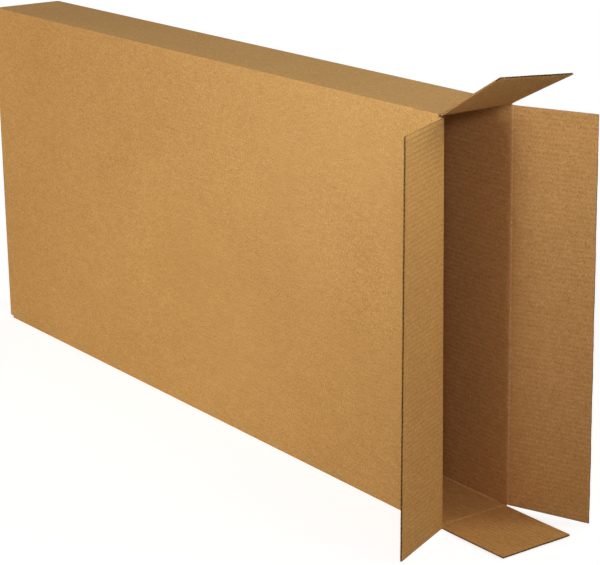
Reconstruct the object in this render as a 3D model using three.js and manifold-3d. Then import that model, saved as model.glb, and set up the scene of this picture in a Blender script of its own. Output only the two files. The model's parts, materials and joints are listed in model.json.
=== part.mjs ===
// A tall, narrow side-loading shipping carton of single-wall C-flute corrugated board.
// It stands on a long narrow side, with one end glued shut and the other end open,
// its four full-overlap flaps folded out. Millimetres, +Z up, +X out of the open end,
// -Y out of the front panel. The origin is the middle of the bottom panel's underside.
import * as THREE from "three";
import { mergeVertices } from "three/addons/utils/BufferGeometryUtils.js";
import Module from "manifold-3d";

// Outside size of the closed carton
const LENGTH = 1422;
const DEPTH = 146;
const HEIGHT = 660;

// Board
const BOARD = 4;
const LINER = 0.45;
const MEDIUM = 0.4;
const FLUTE_PITCH = 7.65;
const FLUTE_CREST = 1.4;
const FLUTE_DEPTH = 12;
const FOLD_RADIUS = 3;

// Cuts, scores and the glued joint
const FLAP_END_CLEARANCE = 1;
const FLAP_SIDE_CLEARANCE = 0.5;
const SCORE_CLEARANCE = 0.3;
const GLUE_BOND = 0.1;
const TAB_WIDTH = 35;
const TAB_SETBACK = 8;
const TAB_TAPER = 12;

// Angles of the open flaps, turned outwards from the plane of the panel that carries each
const FRONT_FLAP_OUT = 63;
const BACK_FLAP_OUT = 21;
const TOP_FLAP_OUT = 30;
const BOTTOM_FLAP_OUT = 0;

// Cutters reach this far past the board they cut, and unions this far into the board they join
const CUT_MARGIN = 1;
const JOIN_DEPTH = 20;

const HALF_LENGTH = LENGTH / 2;
const HALF_DEPTH = DEPTH / 2;
const FOLD = Math.min(FOLD_RADIUS, BOARD);

// Full overlap: the front and back flaps are as long as the carton is deep inside. A corner slot leaves
// each flap narrower than its panel by the boards on both sides of it, so it folds in between them.
const FLAP_LENGTH = DEPTH - BOARD - FLAP_END_CLEARANCE;
const SLOT_HALF_WIDTH = BOARD + FLAP_SIDE_CLEARANCE;
const TALL_FLAP_WIDTH = HEIGHT - 2 * SLOT_HALF_WIDTH;
const SHORT_FLAP_WIDTH = DEPTH - 2 * SLOT_HALF_WIDTH;

// The flaps close in layers: top and bottom first, then the back flap, then the front flap.
// Each score line lies one board, and a little room, further in than the next layer's.
const OPEN_LAYER = BOARD + SCORE_CLEARANCE;
const FRONT_SCORE_X = HALF_LENGTH;
const BACK_SCORE_X = FRONT_SCORE_X - OPEN_LAYER;
const SHORT_SCORE_X = BACK_SCORE_X - OPEN_LAYER;
const SLOT_END_X = SHORT_SCORE_X - BOARD;

// The sheet is cut straight across the ends of the front, top and bottom flaps, so the two whose
// score lies further in are longer. The back flap is a board shorter, to tuck in behind the front panel.
const SHORT_FLAP_LENGTH = FLAP_LENGTH + FRONT_SCORE_X - SHORT_SCORE_X;

// At the shut end the same layers are pressed together by the glue between them
const GLUED_LAYER = BOARD - GLUE_BOND;
const FRONT_FOLD_X = -HALF_LENGTH;
const BACK_FOLD_X = FRONT_FOLD_X + GLUED_LAYER;
const SHORT_FOLD_X = BACK_FOLD_X + GLUED_LAYER;
const SHUT_SLOT_END_X = SHORT_FOLD_X + BOARD;

const wasm = await Module();
wasm.setup();

const OUTER_KRAFT = 0xbf9158;
const INNER_KRAFT = 0xa97c46;

// A closed three.js geometry as a solid that can be joined and cut
function solidFrom(geometry) {
  const bare = geometry.clone();
  bare.deleteAttribute("normal");
  bare.deleteAttribute("uv");
  const merged = mergeVertices(bare, 1e-4);
  return new wasm.Manifold(
    new wasm.Mesh({
      numProp: 3,
      vertProperties: new Float32Array(merged.attributes.position.array),
      triVerts: new Uint32Array(merged.index.array),
    }),
  );
}

// A joined or cut solid back as a three.js geometry with flat shading
function geometryFrom(solid) {
  const mesh = solid.getMesh();
  const positions = new Float32Array(mesh.numVert * 3);
  for (let i = 0; i < mesh.numVert; i += 1) {
    const start = i * mesh.numProp;
    positions.set(mesh.vertProperties.subarray(start, start + 3), i * 3);
  }
  const geometry = new THREE.BufferGeometry();
  geometry.setAttribute("position", new THREE.BufferAttribute(positions, 3));
  geometry.setIndex(new THREE.BufferAttribute(new Uint32Array(mesh.triVerts), 1));
  const flat = geometry.toNonIndexed();
  flat.computeVertexNormals();
  return flat;
}

function polygon(points) {
  return new THREE.Shape(points.map(([u, v]) => new THREE.Vector2(u, v)));
}

// Extrudes shapes drawn in local XY along local Z from one level to another
function extrude(shapes, from, to) {
  const geometry = new THREE.ExtrudeGeometry(shapes, {
    depth: to - from,
    bevelEnabled: false,
    curveSegments: 4,
  });
  return geometry.translate(0, 0, from);
}

// A profile drawn in the world's XY plane, running up Z
function alongZ(shapes, from, to) {
  return solidFrom(extrude(shapes, from, to));
}

// A profile drawn in the world's YZ plane, running along X
function alongX(shapes, from, to) {
  const turn = new THREE.Matrix4().makeBasis(
    new THREE.Vector3(0, 1, 0),
    new THREE.Vector3(0, 0, 1),
    new THREE.Vector3(1, 0, 0),
  );
  return solidFrom(extrude(shapes, from, to).applyMatrix4(turn));
}

// A profile drawn with its first coordinate along X and its second up Z, running across
// the carton between two values of Y
function alongY(shapes, from, to) {
  const turn = new THREE.Matrix4().makeBasis(
    new THREE.Vector3(1, 0, 0),
    new THREE.Vector3(0, 0, 1),
    new THREE.Vector3(0, -1, 0),
  );
  return solidFrom(extrude(shapes, -to, -from).applyMatrix4(turn));
}

// The holes between liner, fluted medium and liner that show in an edge cut across the flutes.
// Drawn with the first coordinate through the board, from its face at 0, and the second along
// the edge. Each flute leaves one hole under each liner, half a pitch apart.
function fluteHoles(edgeWidth) {
  const wide = (FLUTE_PITCH - FLUTE_CREST) / 2;
  const narrow = FLUTE_CREST / 2;
  const outer = LINER;
  const inner = BOARD - LINER;
  const count = Math.floor((edgeWidth - FLUTE_PITCH) / FLUTE_PITCH);
  const first = (-count * FLUTE_PITCH) / 2;
  const holes = [];
  for (let i = 0; i <= 2 * count; i += 1) {
    const centre = first + (i * FLUTE_PITCH) / 2;
    const [base, tip] = i % 2 === 0 ? [outer, inner - MEDIUM] : [inner, outer + MEDIUM];
    const corners = [
      [base, centre - wide],
      [tip, centre - narrow],
      [tip, centre + narrow],
      [base, centre + wide],
    ];
    holes.push(polygon(i % 2 === 0 ? corners.reverse() : corners));
  }
  return holes;
}

// The flute holes as cutters that reach into a flap from its free edge.
// In the flap's own frame: X away from the score, Y through the board, Z along the score.
function fluteCutters(edgeWidth, edgeX) {
  const turn = new THREE.Matrix4().makeBasis(
    new THREE.Vector3(0, 1, 0),
    new THREE.Vector3(0, 0, 1),
    new THREE.Vector3(1, 0, 0),
  );
  const cutters = extrude(fluteHoles(edgeWidth), edgeX - FLUTE_DEPTH, edgeX + CUT_MARGIN);
  return solidFrom(cutters.applyMatrix4(turn));
}

// One flap in its own frame. Its score line is the Z axis, on the outer face of the board,
// and the board's inner face is at Y = BOARD. The crease is mitred, so the flap can fold
// square into the carton and, the other way, flat back against the panel.
function flapSolid(width, length) {
  const profile = polygon([
    [SCORE_CLEARANCE, 0],
    [length, 0],
    [length, BOARD],
    [SCORE_CLEARANCE + BOARD, BOARD],
  ]);
  const board = alongZ(profile, -width / 2, width / 2);
  return board.subtract(fluteCutters(width, length));
}

// The sheet around the four panels, in section: front panel up from its cut edge, over the
// top, down the back, and under the bottom to the fold of the glue tab
function tubeSection() {
  const r = FOLD;
  const y = HALF_DEPTH;
  const tabFold = -y + BOARD;
  const section = new THREE.Shape();
  section.moveTo(-y, 0);
  section.lineTo(tabFold - GLUE_BOND, 0);
  section.lineTo(tabFold - GLUE_BOND, r);
  section.absarc(tabFold + r - GLUE_BOND, r, r, Math.PI, 1.5 * Math.PI, false);
  section.lineTo(y - r, 0);
  section.absarc(y - r, r, r, 1.5 * Math.PI, 2 * Math.PI, false);
  section.lineTo(y, HEIGHT - r);
  section.absarc(y - r, HEIGHT - r, r, 0, 0.5 * Math.PI, false);
  section.lineTo(-y + r, HEIGHT);
  section.absarc(-y + r, HEIGHT - r, r, 0.5 * Math.PI, Math.PI, false);
  section.closePath();
  const inside = [
    [-y + BOARD, BOARD],
    [-y + BOARD, HEIGHT - BOARD],
    [y - BOARD, HEIGHT - BOARD],
    [y - BOARD, BOARD],
  ];
  section.holes.push(new THREE.Path(inside.map(([u, v]) => new THREE.Vector2(u, v))));
  return section;
}

// The end of a panel beyond the corner slots, mitred at its score line.
// Drawn along the panel (u, towards the open end) and through it (v, from outer face at 0).
function mitredEnd(scoreX) {
  return [
    [SLOT_END_X - JOIN_DEPTH, 0],
    [scoreX, 0],
    [scoreX - BOARD, BOARD],
    [SLOT_END_X - JOIN_DEPTH, BOARD],
  ];
}

// A panel's end and the flap folded square over the shut end, drawn in the same way
function foldedFlap(foldX, length) {
  const r = FOLD;
  const shape = new THREE.Shape();
  shape.moveTo(SHUT_SLOT_END_X + JOIN_DEPTH, 0);
  shape.lineTo(SHUT_SLOT_END_X + JOIN_DEPTH, BOARD);
  shape.lineTo(foldX + BOARD, BOARD);
  shape.lineTo(foldX + BOARD, length);
  shape.lineTo(foldX, length);
  shape.lineTo(foldX, r);
  shape.absarc(foldX + r, r, r, Math.PI, 1.5 * Math.PI, false);
  shape.closePath();
  return shape;
}

// Each panel's flaps: their width and length, the score of the open one, the fold of the glued one, and
// how far the open one is turned out. Then the panel's own frame: the middle of its outer face,
// the direction into the carton, and the direction along the scores.
const PANELS = {
  front: {
    width: TALL_FLAP_WIDTH,
    length: FLAP_LENGTH,
    scoreX: FRONT_SCORE_X,
    foldX: FRONT_FOLD_X,
    out: FRONT_FLAP_OUT,
    at: [0, -HALF_DEPTH, HEIGHT / 2],
    into: [0, 1, 0],
    across: [0, 0, 1],
  },
  back: {
    width: TALL_FLAP_WIDTH,
    length: FLAP_LENGTH,
    scoreX: BACK_SCORE_X,
    foldX: BACK_FOLD_X,
    out: BACK_FLAP_OUT,
    at: [0, HALF_DEPTH, HEIGHT / 2],
    into: [0, -1, 0],
    across: [0, 0, -1],
  },
  top: {
    width: SHORT_FLAP_WIDTH,
    length: SHORT_FLAP_LENGTH,
    scoreX: SHORT_SCORE_X,
    foldX: SHORT_FOLD_X,
    out: TOP_FLAP_OUT,
    at: [0, 0, HEIGHT],
    into: [0, 0, -1],
    across: [0, 1, 0],
  },
  bottom: {
    width: SHORT_FLAP_WIDTH,
    length: SHORT_FLAP_LENGTH,
    scoreX: SHORT_SCORE_X,
    foldX: SHORT_FOLD_X,
    out: BOTTOM_FLAP_OUT,
    at: [0, 0, 0],
    into: [0, 0, 1],
    across: [0, -1, 0],
  },
};

function panelFrame(name) {
  const { into, across, at } = PANELS[name];
  const frame = new THREE.Matrix4().makeBasis(
    new THREE.Vector3(1, 0, 0),
    new THREE.Vector3(...into),
    new THREE.Vector3(...across),
  );
  return frame.setPosition(...at);
}

function placedOnPanel(name, shapes) {
  const half = PANELS[name].width / 2;
  return solidFrom(extrude(shapes, -half, half).applyMatrix4(panelFrame(name)));
}

// The flap that lies outermost on the shut end shows the flutes in its free edge.
// Its cutters are drawn along the flap, which points into the carton from the front panel.
function shutEndFluteCutters() {
  const turn = new THREE.Matrix4().makeBasis(
    new THREE.Vector3(0, 1, 0),
    new THREE.Vector3(-1, 0, 0),
    new THREE.Vector3(0, 0, 1),
  );
  turn.setPosition(FRONT_FOLD_X + BOARD, -HALF_DEPTH, HEIGHT / 2);
  const flutes = fluteCutters(TALL_FLAP_WIDTH, FLAP_LENGTH);
  return flutes.transform(turn.elements);
}

// The glue tab stands up inside the front panel from the bottom panel. Its ends are tapered
// and set back from the scores, clear of the flaps that fold in past it.
function glueTab() {
  const from = SHUT_SLOT_END_X + TAB_SETBACK;
  const to = SLOT_END_X - TAB_SETBACK;
  const outline = polygon([
    [from, BOARD / 2],
    [to, BOARD / 2],
    [to, BOARD],
    [to - TAB_TAPER, BOARD + TAB_WIDTH],
    [from + TAB_TAPER, BOARD + TAB_WIDTH],
    [from, BOARD],
  ]);
  const face = -HALF_DEPTH + BOARD;
  return alongY(outline, face - GLUE_BOND, face + BOARD - GLUE_BOND);
}

// The carton without the open end's flaps: one sheet, folded and glued
function cartonBody() {
  const pieces = [alongX(tubeSection(), SHUT_SLOT_END_X, SLOT_END_X), glueTab()];
  for (const name of Object.keys(PANELS)) {
    const { scoreX, foldX, length } = PANELS[name];
    pieces.push(placedOnPanel(name, polygon(mitredEnd(scoreX))));
    pieces.push(placedOnPanel(name, foldedFlap(foldX, length)));
  }
  return wasm.Manifold.union(pieces).subtract(shutEndFluteCutters());
}

function boardMesh(name, solid, colour) {
  const material = new THREE.MeshStandardMaterial({ color: colour, roughness: 0.9, metalness: 0 });
  const mesh = new THREE.Mesh(geometryFrom(solid), material);
  mesh.name = name;
  return mesh;
}

// A flap hung at its score line. The outer group carries the panel's frame, and the inner one
// the angle that the flap is turned outwards.
function hungFlap(panelName) {
  const { width, length, scoreX, out } = PANELS[panelName];
  const onPanel = new THREE.Group();
  panelFrame(panelName).decompose(onPanel.position, onPanel.quaternion, onPanel.scale);
  onPanel.position.x = scoreX;
  const crease = new THREE.Group();
  crease.rotation.z = -THREE.MathUtils.degToRad(out);
  crease.add(boardMesh(`${panelName}_flap`, flapSolid(width, length), INNER_KRAFT));
  onPanel.add(crease);
  return onPanel;
}

const carton = new THREE.Group();
carton.name = "tall_shipping_box";
carton.add(boardMesh("carton_body", cartonBody(), OUTER_KRAFT));
for (const panelName of Object.keys(PANELS)) carton.add(hungFlap(panelName));

export default carton;
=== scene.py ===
"""Looks of a tall shipping box of kraft corrugated board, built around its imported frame.

Every board is made again as one folded sheet, with rounded creases, washboard faces and open flutes at
its raw edges. Sizes and creases come from the frame. All lengths are in metres.
"""

import json
import math

import bpy
import numpy as np
from mathutils import Matrix, Vector


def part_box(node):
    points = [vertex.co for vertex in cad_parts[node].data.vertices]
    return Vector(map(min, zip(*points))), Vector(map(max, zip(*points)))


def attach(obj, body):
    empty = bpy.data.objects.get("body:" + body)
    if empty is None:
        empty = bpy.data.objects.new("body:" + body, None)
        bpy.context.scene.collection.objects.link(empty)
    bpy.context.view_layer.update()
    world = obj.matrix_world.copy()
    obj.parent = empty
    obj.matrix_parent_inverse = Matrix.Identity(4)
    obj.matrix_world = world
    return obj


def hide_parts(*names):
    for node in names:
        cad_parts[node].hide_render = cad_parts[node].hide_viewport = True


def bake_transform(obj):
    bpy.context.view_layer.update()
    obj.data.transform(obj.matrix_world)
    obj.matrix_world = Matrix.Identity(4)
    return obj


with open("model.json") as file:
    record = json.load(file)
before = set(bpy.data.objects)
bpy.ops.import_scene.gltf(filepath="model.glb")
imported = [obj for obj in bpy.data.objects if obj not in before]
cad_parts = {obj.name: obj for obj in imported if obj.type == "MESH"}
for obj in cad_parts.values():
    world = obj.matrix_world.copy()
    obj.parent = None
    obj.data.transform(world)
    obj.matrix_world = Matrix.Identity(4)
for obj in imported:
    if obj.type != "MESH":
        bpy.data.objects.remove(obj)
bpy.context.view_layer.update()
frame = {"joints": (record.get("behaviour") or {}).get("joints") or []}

# Board: its flutes and papers, how deep a washboard the flutes leave in each face, and how strong a painted
# highlight lies on the ridges of the inner face
FLUTE_PITCH = 0.00765
POINTS_PER_FLUTE = 6
LINER = 0.00045
MEDIUM = 0.0004
OUTER_WASHBOARD = 0.0001
INNER_WASHBOARD = 0.00028
RIDGE_HIGHLIGHT = 0.25

# Cut edges: how deep the open flutes are made, how far the cut strays, how much of the thickness the knife
# pinches away and how far in from the edge, and the stations of the pinched strip
OPEN_FLUTES = 0.012
CUT_WANDER = 0.0004
PINCH = 0.3
PINCH_REACH = 0.004
PINCH_STATIONS = (PINCH_REACH, 0.0028, 0.002, 0.0012, 0.0005, 0)

# A slow, uneven wave: weight, waves per metre and shift of each part
WANDER_WAVES = ((0.45, 41, 1.7), (0.33, 97, 2.9), (0.22, 263, 4.1))

# Creases: the fold's radius, the groove that scoring leaves, the width of the painted highlight line along a
# crease that bends outwards, the crushed strip that scoring leaves, and how far each flap's piece reaches
# back over its panel. Folds past the sharp angle, in degrees, shade as edges.
FOLD_RADIUS = 0.0018
CORNER_RADIUS = 0.003
SCORE_DEPTH = 0.0008
SCORE_HALF_WIDTH = 0.0045
SCORE_LINE = 0.0013
SCORE_CRUSHED = 0.002
CREASE_REACH = 0.008
GLUE_BOND = 0.0001
SHARP_ANGLE = 35

# The corner slots: how far they are cut past the short flaps' scores, and how wide their cut is drawn. A
# hair is less than any two points are apart.
SLOT_PAST_SCORE = 0.001
SLOT_CUT = 2e-5
HAIR = 1e-6

# Stations along a flap, out from its crease: the close ones on both sides of it, and the rest of the flap
CREASE_STATIONS = (0.0004, 0.0009, 0.0014, 0.0019, 0.0025, 0.0032, 0.004, 0.005, 0.0065)
FLAP_STATIONS = (CREASE_REACH, 0.012, 0.02, 0.035, 0.055, 0.08, 0.105)

# Stations on the panels: along the carton and how far from its two ends they start, across each corner's
# fold, and across the tab
PANEL_STATIONS = 26
FROM_SHUT_END = 0.03
FROM_OPEN_END = 0.02
FOLD_STATIONS = (0, 0.2, 0.4, 0.6, 0.8, 1)
TAB_STATIONS = 28

# Inside of the four long folds: the liner gathers into a bead on the short panel of each. It fades between
# two distances from the open end, its height strays about a mean, and a painted highlight lies on it.
BEAD_HEIGHT = 0.0026
BEAD_WIDTH = 0.0065
BEAD_SHARPNESS = 1.2
BEAD_FADE = (0.022, 0.009)
BEAD_MEAN = 0.85
BEAD_UNEVEN = 0.2
BEAD_HIGHLIGHT = 1.8

# Large soft unevenness: how far the large panels warp, between which two distances from their ends the warp
# grows, its two waves (weight, waves along and across the panel, shift), and how far a flap's edge curls
PANEL_WARP = 0.0007
WARP_FADE = (0.01, 0.12)
WARP_WAVES = ((1, 4.3, 0, 1.9), (0.6, 9.1, 7, 1))
FLAP_CURL = 0.0012

# How far a flap is turned in, in degrees, at the start and the end of its crease, as its board twists.
# The front flap lies over the others when shut, so it twists outwards, and the top flap inwards.
TWIST = {"front": (-3.0, 0.0), "top": (0.0, 4.0)}

# The tab of the manufacturer's joint, glued inside the front panel
TAB_WIDTH = 0.039
TAB_SETBACK = 0.008
TAB_TAPER = 0.012

# Kraft papers: dark, middle and light colour, and the strength of the mottling and of the grain. The slots
# are their places in this list. The cut edge is darker as raw edges are, and as painted shade where it lines
# the open flutes; the fluting's near black is painted shade. Painted highlights are paler.
OUTSIDE, INSIDE, CUT_AND_PAINTED_SHADE, FLUTING_PAINTED_SHADE = 0, 1, 2, 3
PAPERS = {
    "kraft_outside": ((0.35, 0.18, 0.048), (0.485, 0.267, 0.079), (0.62, 0.37, 0.128), 0.3, 2.1),
    "kraft_inside": ((0.355, 0.17, 0.04), (0.495, 0.252, 0.065), (0.63, 0.35, 0.11), 0.26, 2.2),
    "kraft_cut_edge_and_painted_shade": ((0.2, 0.1, 0.03), (0.3, 0.15, 0.045), (0.42, 0.23, 0.075), 0.4, 0.8),
    "kraft_fluting_painted_shade": ((0.05, 0.025, 0.008), (0.08, 0.04, 0.012), (0.12, 0.06, 0.02), 0.4, 0.8),
}
# The paler colour of the painted highlights on ridges, creases and beads
PAINTED_HIGHLIGHT = (0.8, 0.46, 0.18)

# The noises in the paper: stretch along the carton's axes, scale per metre, detail and roughness
NOISES = {
    "clouds": ((1, 1, 1), 5, 3, 0.55),
    "patches": ((1, 1, 1), 38, 3, 0.55),
    "streaks": ((0.4, 1, 1), 170, 3, 0.55),
    "grains": ((1, 1, 1), 330, 3, 0.7),
    "fibres": ((1, 1, 0.6), 800, 3, 0.7),
    "specks": ((1, 1, 1), 900, 2, 0.55),
}

# What each noise adds to the mottling, the grain and the height of the surface
MOTTLE_WEIGHTS = {"clouds": 1, "patches": 0.6}
GRAIN_WEIGHTS = {"streaks": 0.2, "grains": 0.75, "fibres": 1.3}
HEIGHT_WEIGHTS = {"fibres": 1.0, "streaks": 0.8}
BUMP_STRENGTH = 0.35
BUMP_DISTANCE = 0.0004

# Dark specks: the noise's range that shows them, and how dark they are. Painted highlights: the streaks'
# range that breaks them up, and how much of the paler colour it lets through. Then the paper's gloss.
SPECK_FROM = (0.7, 0.78)
SPECK_DARKNESS = 0.35
HIGHLIGHT_BREAK_FROM = (0.3, 0.6)
HIGHLIGHT_BREAK_TO = (0.15, 0.7)
ROUGHNESS = (0.78, 0.92)
SPECULAR = 0.25

# The photo's viewpoint: azimuth, elevation and roll in degrees
CAMERA_POSITION = (2.9027, -1.9068, 1.2489)
CAMERA_ANGLES = (54.332, 14.730, -0.874)
CAMERA_LENS = 118.36
CAMERA_SHIFT = -0.1
CAMERA_CLIP_END = 100

# The floor: its half size, how far it lies below the carton, the greys that it has for the light's rays and
# for the camera's, the glow that lifts the second to white, and the distances over which it turns all white
FLOOR_HALF_SIZE = 40
FLOOR_DROP = 0.0005
FLOOR_LIT_GREY = (0.3, 0.3, 0.3, 1)
FLOOR_SEEN_GREY = (0.4, 0.4, 0.4, 1)
FLOOR_GLOW = 0.78
FLOOR_FADE = (0.9, 1.6)
WHITE = (1, 1, 1, 1)

# Light: the level all round, then each lamp's place, aim, size, spread in degrees, power and colour. The
# key light is off to the left, two small ones just above the camera light the inside of the carton, one
# lights the back, and the others each lift one side or corner a little.
WORLD_LEVEL = 0.2
LAMPS = {
    "key_light": ((-1.8, -3.6, 1.4), (0.1, 0, 0.4), 2.0, 180, 104, (1, 0.89, 0.75)),
    "front_light": ((0.8, -4.8, 2.4), (0.2, 0, 0.35), 3.0, 180, 9.6, (1, 1, 1)),
    "front_lower": ((-0.1, -2.5, 0.4), (-0.05, 0, 0.0), 0.6, 34, 0.5, (1, 0.95, 0.8)),
    "front_upper": ((1.2, -2.6, 1.0), (0.55, 0, 0.85), 0.8, 34, 1.8, (0.75, 0.88, 1)),
    "camera_upper": ((3.0, -1.75, 1.75), (0.7, 0, 0.6), 0.3, 180, 10.1, (1, 0.83, 0.77)),
    "camera_lower": ((2.9, -1.95, 1.5), (0.7, 0, 0.6), 0.3, 180, 15.1, (0.83, 0.7, 1)),
    "high_right": ((3.1, 0.2, 2.6), (0.75, 0, 1.0), 1.5, 60, 1.6, (1, 1, 1)),
    "high_back_right": ((2.6, 2.2, 2.6), (0.75, 0, 1.0), 1.5, 60, 7.2, (0.98, 1, 0.88)),
    "close_right": ((1.9, 0.2, 1.9), (0.8, 0, 0.5), 0.8, 180, 0.7, (1, 1, 1)),
    "low_right": ((4.2, -1.6, 1.3), (0.8, 0, 1.0), 1.0, 34, 1.0, (0.63, 0.65, 1)),
    "flap_upper": ((3.0, 0.7, 1.45), (0.76, -0.15, 0.78), 0.3, 16, 0.15, (0.65, 1, 1)),
    "back_light": ((-1.2, 4.2, 1.1), (-0.1, 0, 0.35), 2.0, 180, 50, (1, 0.95, 0.9)),
}

BODY_LOW, BODY_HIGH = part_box("carton_body")
HEIGHT = BODY_HIGH.z - BODY_LOW.z
DEPTH = BODY_HIGH.y - BODY_LOW.y
FLOOR_FLAP_LOW, FLOOR_FLAP_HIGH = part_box("bottom_flap")
BOARD = FLOOR_FLAP_HIGH.z - FLOOR_FLAP_LOW.z
SLOT = BODY_HIGH.y - FLOOR_FLAP_HIGH.y

JOINTS = {joint["child"].removesuffix("_flap"): joint for joint in frame["joints"]}
SCORE_X = {name: joint["pos_m"][0] for name, joint in JOINTS.items()}
SLOT_END_X = SCORE_X["bottom"] - SLOT_PAST_SCORE
SHORT_FLAP_LENGTH = FLOOR_FLAP_HIGH.x - SCORE_X["bottom"]
TALL_FLAP_LENGTH = SHORT_FLAP_LENGTH - (SCORE_X["front"] - SCORE_X["bottom"])
GLUED_STEP = BOARD - GLUE_BOND
SHUT_SLOT_END_X = BODY_LOW.x + 3 * GLUED_STEP

# Each panel of the folded sheet: where its outer face starts on the carton's section (y, z), the way it
# runs, the way into the carton, its length, and whether its two ends are folds or raw edges. Then the
# x of its fold at the shut end.
PANELS = {
    "front": {
        "start": (BODY_LOW.y, 0.0),
        "run": (0, 1),
        "into": (1, 0),
        "length": HEIGHT,
        "folded": (False, True),
        "shut_x": BODY_LOW.x,
    },
    "top": {
        "start": (BODY_LOW.y, HEIGHT),
        "run": (1, 0),
        "into": (0, -1),
        "length": DEPTH,
        "folded": (True, True),
        "shut_x": BODY_LOW.x + 2 * GLUED_STEP,
    },
    "back": {
        "start": (BODY_HIGH.y, HEIGHT),
        "run": (0, -1),
        "into": (-1, 0),
        "length": HEIGHT,
        "folded": (True, True),
        "shut_x": BODY_LOW.x + GLUED_STEP,
    },
    "bottom": {
        "start": (BODY_HIGH.y, 0.0),
        "run": (-1, 0),
        "into": (0, 1),
        "length": DEPTH - BOARD + GLUE_BOND,
        "folded": (True, True),
        "shut_x": BODY_LOW.x + 2 * GLUED_STEP,
    },
    "tab": {
        "start": (BODY_LOW.y + BOARD - GLUE_BOND, 0.0),
        "run": (0, 1),
        "into": (1, 0),
        "length": TAB_WIDTH,
        "folded": (True, False),
    },
}


def smoothstep(value, low, high):
    t = np.clip((value - low) / (high - low), 0, 1)
    return t * t * (3 - 2 * t)


def wander(along, seed):
    """A slow, uneven wave between about -1 and 1, as a knife or a hand leaves."""
    return sum(weight * np.sin(rate * along + shift * seed) for weight, rate, shift in WANDER_WAVES)


def on_panel(name, x, run, into):
    """Points given in a panel's own frame, in the carton's."""
    panel = PANELS[name]
    y = panel["start"][0] + run * panel["run"][0] + into * panel["into"][0]
    z = panel["start"][1] + run * panel["run"][1] + into * panel["into"][1]
    return np.stack(np.broadcast_arrays(x, y, z), axis=-1)


def flute_stations(name):
    """Stations across a panel's flap, a few to each flute."""
    low, high = SLOT, DEPTH - SLOT
    if name in ("front", "back"):
        low, high = SLOT, HEIGHT - SLOT
    count = round((high - low) / FLUTE_PITCH * POINTS_PER_FLUTE)
    return np.linspace(low, high, count + 1)


def flap_length(name):
    return TALL_FLAP_LENGTH if name in ("front", "back") else SHORT_FLAP_LENGTH


def flute_wave(run):
    return np.cos(2 * math.pi * (run - SLOT) / FLUTE_PITCH)


def outer_depth(run, flat):
    """How far the outer liner sinks between the flute tips that carry it."""
    return OUTER_WASHBOARD * (1 - flute_wave(run)) / 2 * flat


def inner_depth(run, flat):
    return BOARD - INNER_WASHBOARD * (1 + flute_wave(run)) / 2 * flat


def ridge_highlight(run):
    """How strong a painted highlight the inner liner gets over the flute tips that carry it."""
    return RIDGE_HIGHLIGHT * (1 - flute_wave(run)) / 2


class Board:
    """Closed sheets of board, collected into one mesh."""

    def __init__(self):
        self.points = []
        self.faces = []
        self.slots = []
        self.painted_highlight = []
        self.count = 0

    def add_sheet(self, outer, inner, outer_slot=OUTSIDE, inner_slot=INSIDE, painted_highlight=0):
        """A sheet between two grids of points of the same shape, closed all round with cut edges.

        The last argument says how strong a painted highlight the inner face gets, from 0 to 1.
        """
        rows, columns = outer.shape[:2]
        self.painted_highlight.append(np.zeros(rows * columns))
        self.painted_highlight.append(np.broadcast_to(painted_highlight, (rows, columns)).ravel())
        top = np.arange(rows * columns).reshape(rows, columns)
        under = top + rows * columns
        a, b, c, d = top[:-1, :-1], top[1:, :-1], top[1:, 1:], top[:-1, 1:]
        e, f, g, h = under[:-1, :-1], under[1:, :-1], under[1:, 1:], under[:-1, 1:]
        quads = [
            (outer_slot, (a, b, c, d)),
            (inner_slot, (h, g, f, e)),
            # Rims take the cut edge's darker colour: the raw edge's own tone, and painted shade where they
            # face into the open flutes
            (CUT_AND_PAINTED_SHADE, (b[:, 0], a[:, 0], e[:, 0], f[:, 0])),
            (CUT_AND_PAINTED_SHADE, (d[:, -1], c[:, -1], g[:, -1], h[:, -1])),
            (CUT_AND_PAINTED_SHADE, (a[0], d[0], h[0], e[0])),
            (CUT_AND_PAINTED_SHADE, (c[-1], b[-1], f[-1], g[-1])),
        ]
        points = np.concatenate([outer.reshape(-1, 3), inner.reshape(-1, 3)])
        faces = [np.stack([v.ravel() for v in corners], axis=-1) for _, corners in quads]
        if signed_volume(points, np.concatenate(faces)) < 0:
            faces = [quad[:, ::-1] for quad in faces]
        for (slot, _), quad in zip(quads, faces):
            self.faces.append(quad + self.count)
            self.slots.append(np.full(len(quad), slot))
        self.points.append(points)
        self.count += len(points)

    def make(self, name, materials):
        mesh = bpy.data.meshes.new(name)
        points = np.concatenate(self.points)
        mesh.from_pydata(points.tolist(), [], np.concatenate(self.faces).tolist())
        for material in materials:
            mesh.materials.append(material)
        mesh.polygons.foreach_set("material_index", np.concatenate(self.slots).astype(np.int32))
        mesh.shade_smooth()
        mesh.set_sharp_from_angle(angle=math.radians(SHARP_ANGLE))
        rest = mesh.attributes.new("rest", "FLOAT_VECTOR", "POINT")
        rest.data.foreach_set("vector", points.astype(np.float32).ravel())
        painted_highlight = mesh.attributes.new("painted_highlight", "FLOAT", "POINT")
        painted_highlight.data.foreach_set("value", np.concatenate(self.painted_highlight).astype(np.float32))
        piece = bpy.data.objects.new(name, mesh)
        bpy.context.scene.collection.objects.link(piece)
        return piece


def signed_volume(points, quads):
    p = points[quads]
    first = np.einsum("ij,ij->i", p[:, 0], np.cross(p[:, 1], p[:, 2]))
    second = np.einsum("ij,ij->i", p[:, 0], np.cross(p[:, 2], p[:, 3]))
    return (first + second).sum()


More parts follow.
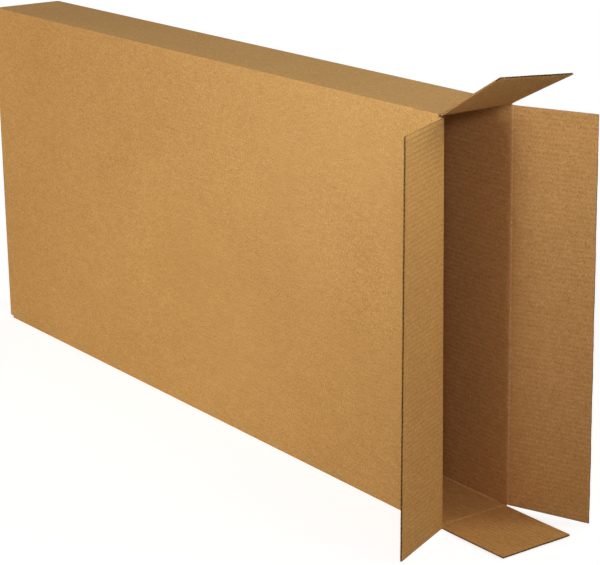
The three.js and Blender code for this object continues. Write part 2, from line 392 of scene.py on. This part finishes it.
def crease_section(s, depth, bend, inner):
    """Section across a crease, as (out, into) from the crease's line on the outer face.

    s runs along the board from the panel, where it is negative, to the flap. depth is measured through
    the board, and bend is positive where the flap turns into the carton.
    """
    if inner and bend > 0:
        mitre = BOARD * math.tan(bend / 2)
        reach = np.where(
            np.abs(s) < CREASE_REACH, mitre + np.abs(s) * (1 - mitre / CREASE_REACH), np.abs(s)
        )
        out = np.where(s < 0, -reach, reach * math.cos(bend) - depth * math.sin(bend))
        into = np.where(s < 0, depth, reach * math.sin(bend) + depth * math.cos(bend))
        return out, into
    t = np.clip((s + FOLD_RADIUS) / (2 * FOLD_RADIUS), 0, 1)
    before = (1 - t) ** 2 * np.minimum(s, -FOLD_RADIUS)
    after = t**2 * np.maximum(s, FOLD_RADIUS)
    turn = np.arctan2(t * math.sin(bend), 1 - t + t * math.cos(bend))
    out = before + after * math.cos(bend) - depth * np.sin(turn)
    into = after * math.sin(bend) + depth * np.cos(turn)
    return out, into


def flap_stations(open_from):
    """Stations along a flap's piece, close together round the crease, up to its open flutes."""
    near = np.array(CREASE_STATIONS)
    return np.concatenate([[-CREASE_REACH], -near[::-1], [0.0], near, FLAP_STATIONS, [open_from]])


def add_flap(board, name, crease_x, way, bend, open_flutes, seed):
    """A flap with the end of its panel, as one sheet. way is 1 at the open end and -1 at the shut one."""
    run = flute_stations(name)[None, :]
    length = flap_length(name)
    lean = TWIST.get(name, (0, 0)) if way > 0 else (0, 0)
    twist = np.radians(lean[0] + (lean[1] - lean[0]) * (run - SLOT) / (run[0, -1] - SLOT))

    def surface(s, depth, inner):
        to_edge = np.minimum(length - s, np.minimum(run - SLOT, run[0, -1] - run))
        pinch = PINCH * (1 - smoothstep(to_edge, 0, PINCH_REACH)) * smoothstep(s, 0, CREASE_REACH)
        depth = BOARD / 2 + (depth - BOARD / 2) * (1 - pinch)
        s = s * np.where(s > 0, 1 + CUT_WANDER / length * wander(run, seed), 1)
        bowed = np.clip(s / length, 0, 1) ** 2 * FLAP_CURL * (open_flutes > 0)
        leaned = np.maximum(s, 0) * np.tan(twist)
        out, into = crease_section(s, depth + bowed + leaned, bend, inner)
        return on_panel(name, crease_x + way * out, run, into)

    solid_to = length - open_flutes
    s = flap_stations(solid_to)[:, None] + 0 * run
    flat = smoothstep(np.abs(s), SCORE_CRUSHED, SCORE_HALF_WIDTH)
    groove = SCORE_DEPTH * np.cos(np.clip(np.abs(s) / SCORE_HALF_WIDTH, 0, 1) * math.pi / 2) ** 2
    outer = surface(s, outer_depth(run, flat), False)
    inner = surface(s, inner_depth(run, flat) - (groove if bend <= 0 else 0), True)
    # Painted highlights along a crease whose inner face bends outwards, and on the flute ridges
    line = np.exp(-((s / SCORE_LINE) ** 2)) * (bend <= 0)
    board.add_sheet(outer, inner, painted_highlight=np.maximum(line, ridge_highlight(run)))
    if not open_flutes:
        return

    from_end = np.array([open_flutes, *PINCH_STATIONS])
    s = length - from_end[:, None] + 0 * run
    under_outer = outer_depth(run, 1)
    over_inner = inner_depth(run, 1)
    # Inside the open flutes the liners' faces take the cut edge's darker colour and the fluting its near
    # black: painted shade
    board.add_sheet(surface(s, under_outer, False), surface(s, under_outer + LINER, False), OUTSIDE, CUT_AND_PAINTED_SHADE)
    board.add_sheet(
        surface(s, over_inner - LINER, False), surface(s, over_inner, False), CUT_AND_PAINTED_SHADE, INSIDE, ridge_highlight(run)
    )
    swing = BOARD / 2 - LINER - MEDIUM / 2
    medium = BOARD / 2 - swing * flute_wave(run)
    board.add_sheet(
        surface(s, medium - MEDIUM / 2, False), surface(s, medium + MEDIUM / 2, False), FLUTING_PAINTED_SHADE, FLUTING_PAINTED_SHADE
    )


def panel_stations(name):
    """Stations across a panel, with the two sides of each corner slot, and True where a flap carries on."""
    panel = PANELS[name]
    if name == "tab":
        run = np.linspace(0, panel["length"], TAB_STATIONS)
        return run, np.zeros(len(run), bool)
    flap = flute_stations(name)
    edge = np.array(FOLD_STATIONS)
    before = edge * (SLOT - SLOT_CUT)
    after = flap[-1] + SLOT_CUT + edge * (panel["length"] - flap[-1] - SLOT_CUT)
    run = np.concatenate([before, flap, after])
    carries = (run >= flap[0] - HAIR) & (run <= flap[-1] + HAIR)
    return run, carries


def corner_round(run, length, folded):
    """Outer face near the panel's folds, as (run, into)."""
    along, into = run.copy(), np.zeros(len(run))
    for is_folded, from_end in zip(folded, (False, True)):
        gap = length - run if from_end else run
        t = 0.5 + np.clip(gap / CORNER_RADIUS, 0, 1) / 2
        near = is_folded & (gap < CORNER_RADIUS)
        rounded = t**2 * CORNER_RADIUS
        along = np.where(near, length - rounded if from_end else rounded, along)
        into = np.where(near, (1 - t) ** 2 * CORNER_RADIUS, into)
    return along, into


def inner_run(run, length, folded):
    """Inner face near the panel's folds, gathered up to the corner."""
    along = run.copy()
    for is_folded, from_end in zip(folded, (False, True)):
        gap = length - run if from_end else run
        near = is_folded & (gap < SLOT)
        gathered = BOARD + gap * (1 - BOARD / SLOT)
        along = np.where(near, length - gathered if from_end else gathered, along)
    return along


def tube_sheet():
    """The four panels and the tab as one sheet, folded round the carton.

    Gives its outer and inner grids of points, and how strong a painted highlight the inner one gets.
    """
    middle = np.linspace(BODY_LOW.x + FROM_SHUT_END, SLOT_END_X - FROM_OPEN_END, PANEL_STATIONS)
    outers, inners, painted_highlight = [], [], []
    for seed, (name, panel) in enumerate(PANELS.items()):
        length, folded = panel["length"], panel["folded"]
        run, carries = panel_stations(name)
        if name == "tab":
            taper = TAB_TAPER * smoothstep(run, BOARD, length)
            x_from = SHUT_SLOT_END_X + TAB_SETBACK + taper
            x_to = SLOT_END_X - TAB_SETBACK - taper
        else:
            x_from = np.where(carries, panel["shut_x"] + CREASE_REACH, SHUT_SLOT_END_X)
            x_to = np.where(carries, SCORE_X[name] - CREASE_REACH, SLOT_END_X)
        x = np.concatenate(
            [x_from[:, None], np.broadcast_to(middle, (len(run), len(middle))), x_to[:, None]], axis=1
        )
        from_fold = np.minimum(
            np.where(folded[0], run, np.inf), np.where(folded[1], length - run, np.inf)
        )[:, None]
        flat = smoothstep(from_fold, SLOT, SLOT + HAIR)
        in_middle = smoothstep(x, BODY_LOW.x + WARP_FADE[0], BODY_LOW.x + WARP_FADE[1]) * (
            1 - smoothstep(x, SLOT_END_X - WARP_FADE[1], SLOT_END_X - WARP_FADE[0])
        )
        across = np.sin(math.pi * np.clip(run / length, 0, 1))[:, None]
        sway = sum(
            weight * np.sin(along * x + over * run[:, None] + shift * seed)
            for weight, along, over, shift in WARP_WAVES
        )
        warp = PANEL_WARP * across * in_middle * sway * (length > DEPTH)

        outer_run, rounding = corner_round(run, length, folded)
        gathered_run = inner_run(run, length, folded)
        from_corner = np.minimum(gathered_run, length - gathered_run)[:, None] - BOARD
        bead = np.sin(math.pi * np.clip(from_corner / BEAD_WIDTH, 0, 1)) ** BEAD_SHARPNESS
        ended = smoothstep(x, SLOT_END_X - BEAD_FADE[0], SLOT_END_X - BEAD_FADE[1])
        bead = BEAD_HEIGHT * bead * (1 - ended)
        bead = bead * (BEAD_MEAN + BEAD_UNEVEN * wander(x, seed)) * (name in ("top", "bottom"))
        outer = on_panel(
            name, x, outer_run[:, None], rounding[:, None] + outer_depth(run[:, None], flat) + warp
        )
        inner = on_panel(
            name, x, gathered_run[:, None], inner_depth(run[:, None], flat) + bead + warp
        )
        last = len(run) if name == "tab" else len(run) - 1
        outers.append(outer[:last])
        inners.append(inner[:last])
        # Painted highlight on the bead, in step with its height, and on the flute ridges
        bead_highlight = np.minimum(BEAD_HIGHLIGHT * bead / BEAD_HEIGHT, 1)
        painted_highlight.append(np.maximum(bead_highlight, ridge_highlight(run[:, None]) * flat)[:last])
    return np.concatenate(outers), np.concatenate(inners), np.concatenate(painted_highlight)


def add_node(tree, kind, inputs=None, **settings):
    """A shader node with its settings, and each input set to a value or linked to another's output."""
    made = tree.nodes.new(kind)
    for key, value in settings.items():
        setattr(made, key, value)
    for key, value in (inputs or {}).items():
        if isinstance(value, bpy.types.NodeSocket):
            tree.links.new(value, made.inputs[key])
        else:
            made.inputs[key].default_value = value
    return made


def noise(tree, at, stretch, scale, detail, roughness):
    """Noise of a given scale per metre, stretched along the carton's axes."""
    stretched = add_node(
        tree, "ShaderNodeVectorMath", {0: at, 1: tuple(scale * s for s in stretch)}, operation="MULTIPLY"
    )
    made = add_node(
        tree,
        "ShaderNodeTexNoise",
        {"Vector": stretched.outputs[0], "Scale": 1.0, "Detail": detail, "Roughness": roughness},
    )
    return made.outputs["Fac"]


def weighted(tree, terms):
    """A half, plus each noise's departure from its middle times its weight."""
    total = 0.5
    for source, weight in terms:
        centred = add_node(
            tree, "ShaderNodeMath", {0: source, 1: weight, 2: -0.5 * weight}, operation="MULTIPLY_ADD"
        )
        total = add_node(
            tree, "ShaderNodeMath", {0: centred.outputs[0], 1: total}, operation="ADD"
        ).outputs[0]
    return total


def map_range(tree, value, source, target):
    """A value moved from one range to another, and held inside it."""
    ends = {"From Min": source[0], "From Max": source[1], "To Min": target[0], "To Max": target[1]}
    return add_node(tree, "ShaderNodeMapRange", {"Value": value, **ends}).outputs[0]


def add_colour_mix(tree, factor, a, b):
    """The colour that a factor mixes from a (at 0) and b (at 1)."""
    made = add_node(tree, "ShaderNodeMix", {"Factor": factor, "A": a, "B": b}, data_type="RGBA")
    return made.outputs["Result"]


def kraft_material(name, dark, middle, light, mottle, grain):
    """Kraft paper: cloudy mottling, fine grain, scattered specks, and a paler colour for painted highlights.
    """
    material = bpy.data.materials.new(name)
    material.use_nodes = True
    tree = material.node_tree
    shader = tree.nodes["Principled BSDF"]
    rest = add_node(tree, "ShaderNodeAttribute", attribute_name="rest").outputs["Vector"]
    noises = {kind: noise(tree, rest, *settings) for kind, settings in NOISES.items()}

    tones = [(noises[kind], mottle * weight) for kind, weight in MOTTLE_WEIGHTS.items()]
    tones += [(noises[kind], grain * weight) for kind, weight in GRAIN_WEIGHTS.items()]
    ramp = add_node(tree, "ShaderNodeValToRGB", {"Fac": weighted(tree, tones)})
    ramp.color_ramp.elements[0].color = (*dark, 1)
    ramp.color_ramp.elements[1].color = (*light, 1)
    ramp.color_ramp.elements.new(0.5).color = (*middle, 1)

    speck = map_range(tree, noises["specks"], SPECK_FROM, (0, SPECK_DARKNESS))
    specked = add_colour_mix(tree, speck, ramp.outputs["Color"], (*dark, 1))

    # Painted highlight: a paler colour on ridges, creases and beads, broken up by the streaks
    painted_highlight = add_node(tree, "ShaderNodeAttribute", attribute_name="painted_highlight").outputs["Fac"]
    broken = map_range(tree, noises["streaks"], HIGHLIGHT_BREAK_FROM, HIGHLIGHT_BREAK_TO)
    paler = add_node(tree, "ShaderNodeMath", {0: painted_highlight, 1: broken}, operation="MULTIPLY")
    colour = add_colour_mix(tree, paler.outputs[0], specked, (*PAINTED_HIGHLIGHT, 1))
    tree.links.new(colour, shader.inputs["Base Color"])

    rough = map_range(tree, noises["patches"], (0, 1), ROUGHNESS)
    tree.links.new(rough, shader.inputs["Roughness"])
    shader.inputs["Specular IOR Level"].default_value = SPECULAR

    height = weighted(tree, [(noises[kind], weight) for kind, weight in HEIGHT_WEIGHTS.items()])
    bump = add_node(
        tree, "ShaderNodeBump", {"Height": height, "Strength": BUMP_STRENGTH, "Distance": BUMP_DISTANCE}
    )
    tree.links.new(bump.outputs[0], shader.inputs["Normal"])
    return material


def camera_at_photo():
    """The photo's viewpoint, by the angles that the carton's corners give."""
    azimuth, elevation, roll = (math.radians(a) for a in CAMERA_ANGLES)
    forward = Vector(
        (
            -math.sin(azimuth) * math.cos(elevation),
            math.cos(azimuth) * math.cos(elevation),
            -math.sin(elevation),
        )
    )
    level_right = Vector((math.cos(azimuth), math.sin(azimuth), 0))
    level_up = level_right.cross(forward)
    right = math.cos(roll) * level_right + math.sin(roll) * level_up
    up = -math.sin(roll) * level_right + math.cos(roll) * level_up
    axes = Matrix((right, up, -forward)).transposed()
    camera = bpy.data.objects.new("camera", bpy.data.cameras.new("camera"))
    camera.matrix_world = Matrix.Translation(CAMERA_POSITION) @ axes.to_4x4()
    camera.data.lens = CAMERA_LENS
    camera.data.shift_y = CAMERA_SHIFT
    camera.data.clip_end = CAMERA_CLIP_END
    bpy.context.scene.collection.objects.link(camera)
    bpy.context.scene.camera = camera


def seen_by_camera(tree):
    """1 for the rays that show the background: the camera's, and those off gloss or through glass."""
    path = add_node(tree, "ShaderNodeLightPath")
    glossy = add_node(
        tree,
        "ShaderNodeMath",
        {0: path.outputs["Is Camera Ray"], 1: path.outputs["Is Glossy Ray"]},
        operation="MAXIMUM",
    )
    return add_node(
        tree,
        "ShaderNodeMath",
        {0: glossy.outputs[0], 1: path.outputs["Is Transmission Ray"]},
        operation="MAXIMUM",
    ).outputs[0]


def white_floor():
    """A wide pale floor that the camera sees white, with the carton's soft shadow close to it."""
    mesh = bpy.data.meshes.new("floor")
    size = FLOOR_HALF_SIZE
    mesh.from_pydata(
        [(-size, -size, 0), (size, -size, 0), (size, size, 0), (-size, size, 0)], [], [(0, 1, 2, 3)]
    )
    floor = bpy.data.objects.new("floor", mesh)
    floor.location.z = -FLOOR_DROP
    bpy.context.scene.collection.objects.link(floor)
    material = bpy.data.materials.new("floor")
    material.use_nodes = True
    tree = material.node_tree
    tree.nodes.remove(tree.nodes["Principled BSDF"])

    lit = add_node(tree, "ShaderNodeBsdfDiffuse", {"Color": FLOOR_LIT_GREY})
    shadowed = add_node(tree, "ShaderNodeBsdfDiffuse", {"Color": FLOOR_SEEN_GREY})
    glow = add_node(tree, "ShaderNodeEmission", {"Color": WHITE, "Strength": FLOOR_GLOW})
    near = add_node(tree, "ShaderNodeAddShader", {0: shadowed.outputs[0], 1: glow.outputs[0]})
    white = add_node(tree, "ShaderNodeEmission", {"Color": WHITE, "Strength": 1.0})
    place = add_node(tree, "ShaderNodeNewGeometry").outputs["Position"]
    away = add_node(tree, "ShaderNodeVectorMath", {0: place}, operation="LENGTH").outputs["Value"]
    fade = map_range(tree, away, FLOOR_FADE, (0, 1))
    seen = add_node(tree, "ShaderNodeMixShader", {0: fade, 1: near.outputs[0], 2: white.outputs[0]})
    mixed = add_node(
        tree, "ShaderNodeMixShader", {0: seen_by_camera(tree), 1: lit.outputs[0], 2: seen.outputs[0]}
    )
    tree.links.new(mixed.outputs[0], tree.nodes["Material Output"].inputs["Surface"])
    mesh.materials.append(material)


def studio_light():
    """An even level all round, seen white by the camera, and the lamps."""
    world = bpy.data.worlds.new("studio")
    world.use_nodes = True
    bpy.context.scene.world = world
    tree = world.node_tree
    background = tree.nodes["Background"]
    strength = map_range(tree, seen_by_camera(tree), (0, 1), (WORLD_LEVEL, 1.0))
    tree.links.new(strength, background.inputs["Strength"])
    background.inputs["Color"].default_value = WHITE
    for name, (place, aim, size, spread, power, colour) in LAMPS.items():
        lamp = bpy.data.lights.new(name, "AREA")
        lamp.shape = "DISK"
        lamp.size = size
        lamp.spread = math.radians(spread)
        lamp.energy = power
        lamp.color = colour
        holder = bpy.data.objects.new(name, lamp)
        holder.location = place
        holder.rotation_euler = (Vector(aim) - Vector(place)).to_track_quat("-Z", "Y").to_euler()
        bpy.context.scene.collection.objects.link(holder)


camera_at_photo()
white_floor()
studio_light()

MATERIALS = [kraft_material(name, *paper) for name, paper in PAPERS.items()]

carton = Board()
outer, inner, painted_highlight = tube_sheet()
carton.add_sheet(outer, inner, painted_highlight=painted_highlight)
for seed, name in enumerate(("top", "bottom", "back", "front")):
    open_flutes = OPEN_FLUTES if name == "front" else 0
    add_flap(carton, name, PANELS[name]["shut_x"], -1, math.pi / 2, open_flutes, seed)
carton_sheet = carton.make("carton_sheet", MATERIALS)
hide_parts("carton_body")
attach(carton_sheet, "carton")

for seed, (name, joint) in enumerate(JOINTS.items()):
    bend = math.radians(90 - joint["range_deg"][1])
    flap = Board()
    add_flap(flap, name, SCORE_X[name], 1, bend, OPEN_FLUTES, seed + 5)
    piece = flap.make(name + "_flap_sheet", MATERIALS)
    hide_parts(joint["child"])
    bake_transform(piece)

bpy.context.scene.view_settings.view_transform = "Standard"
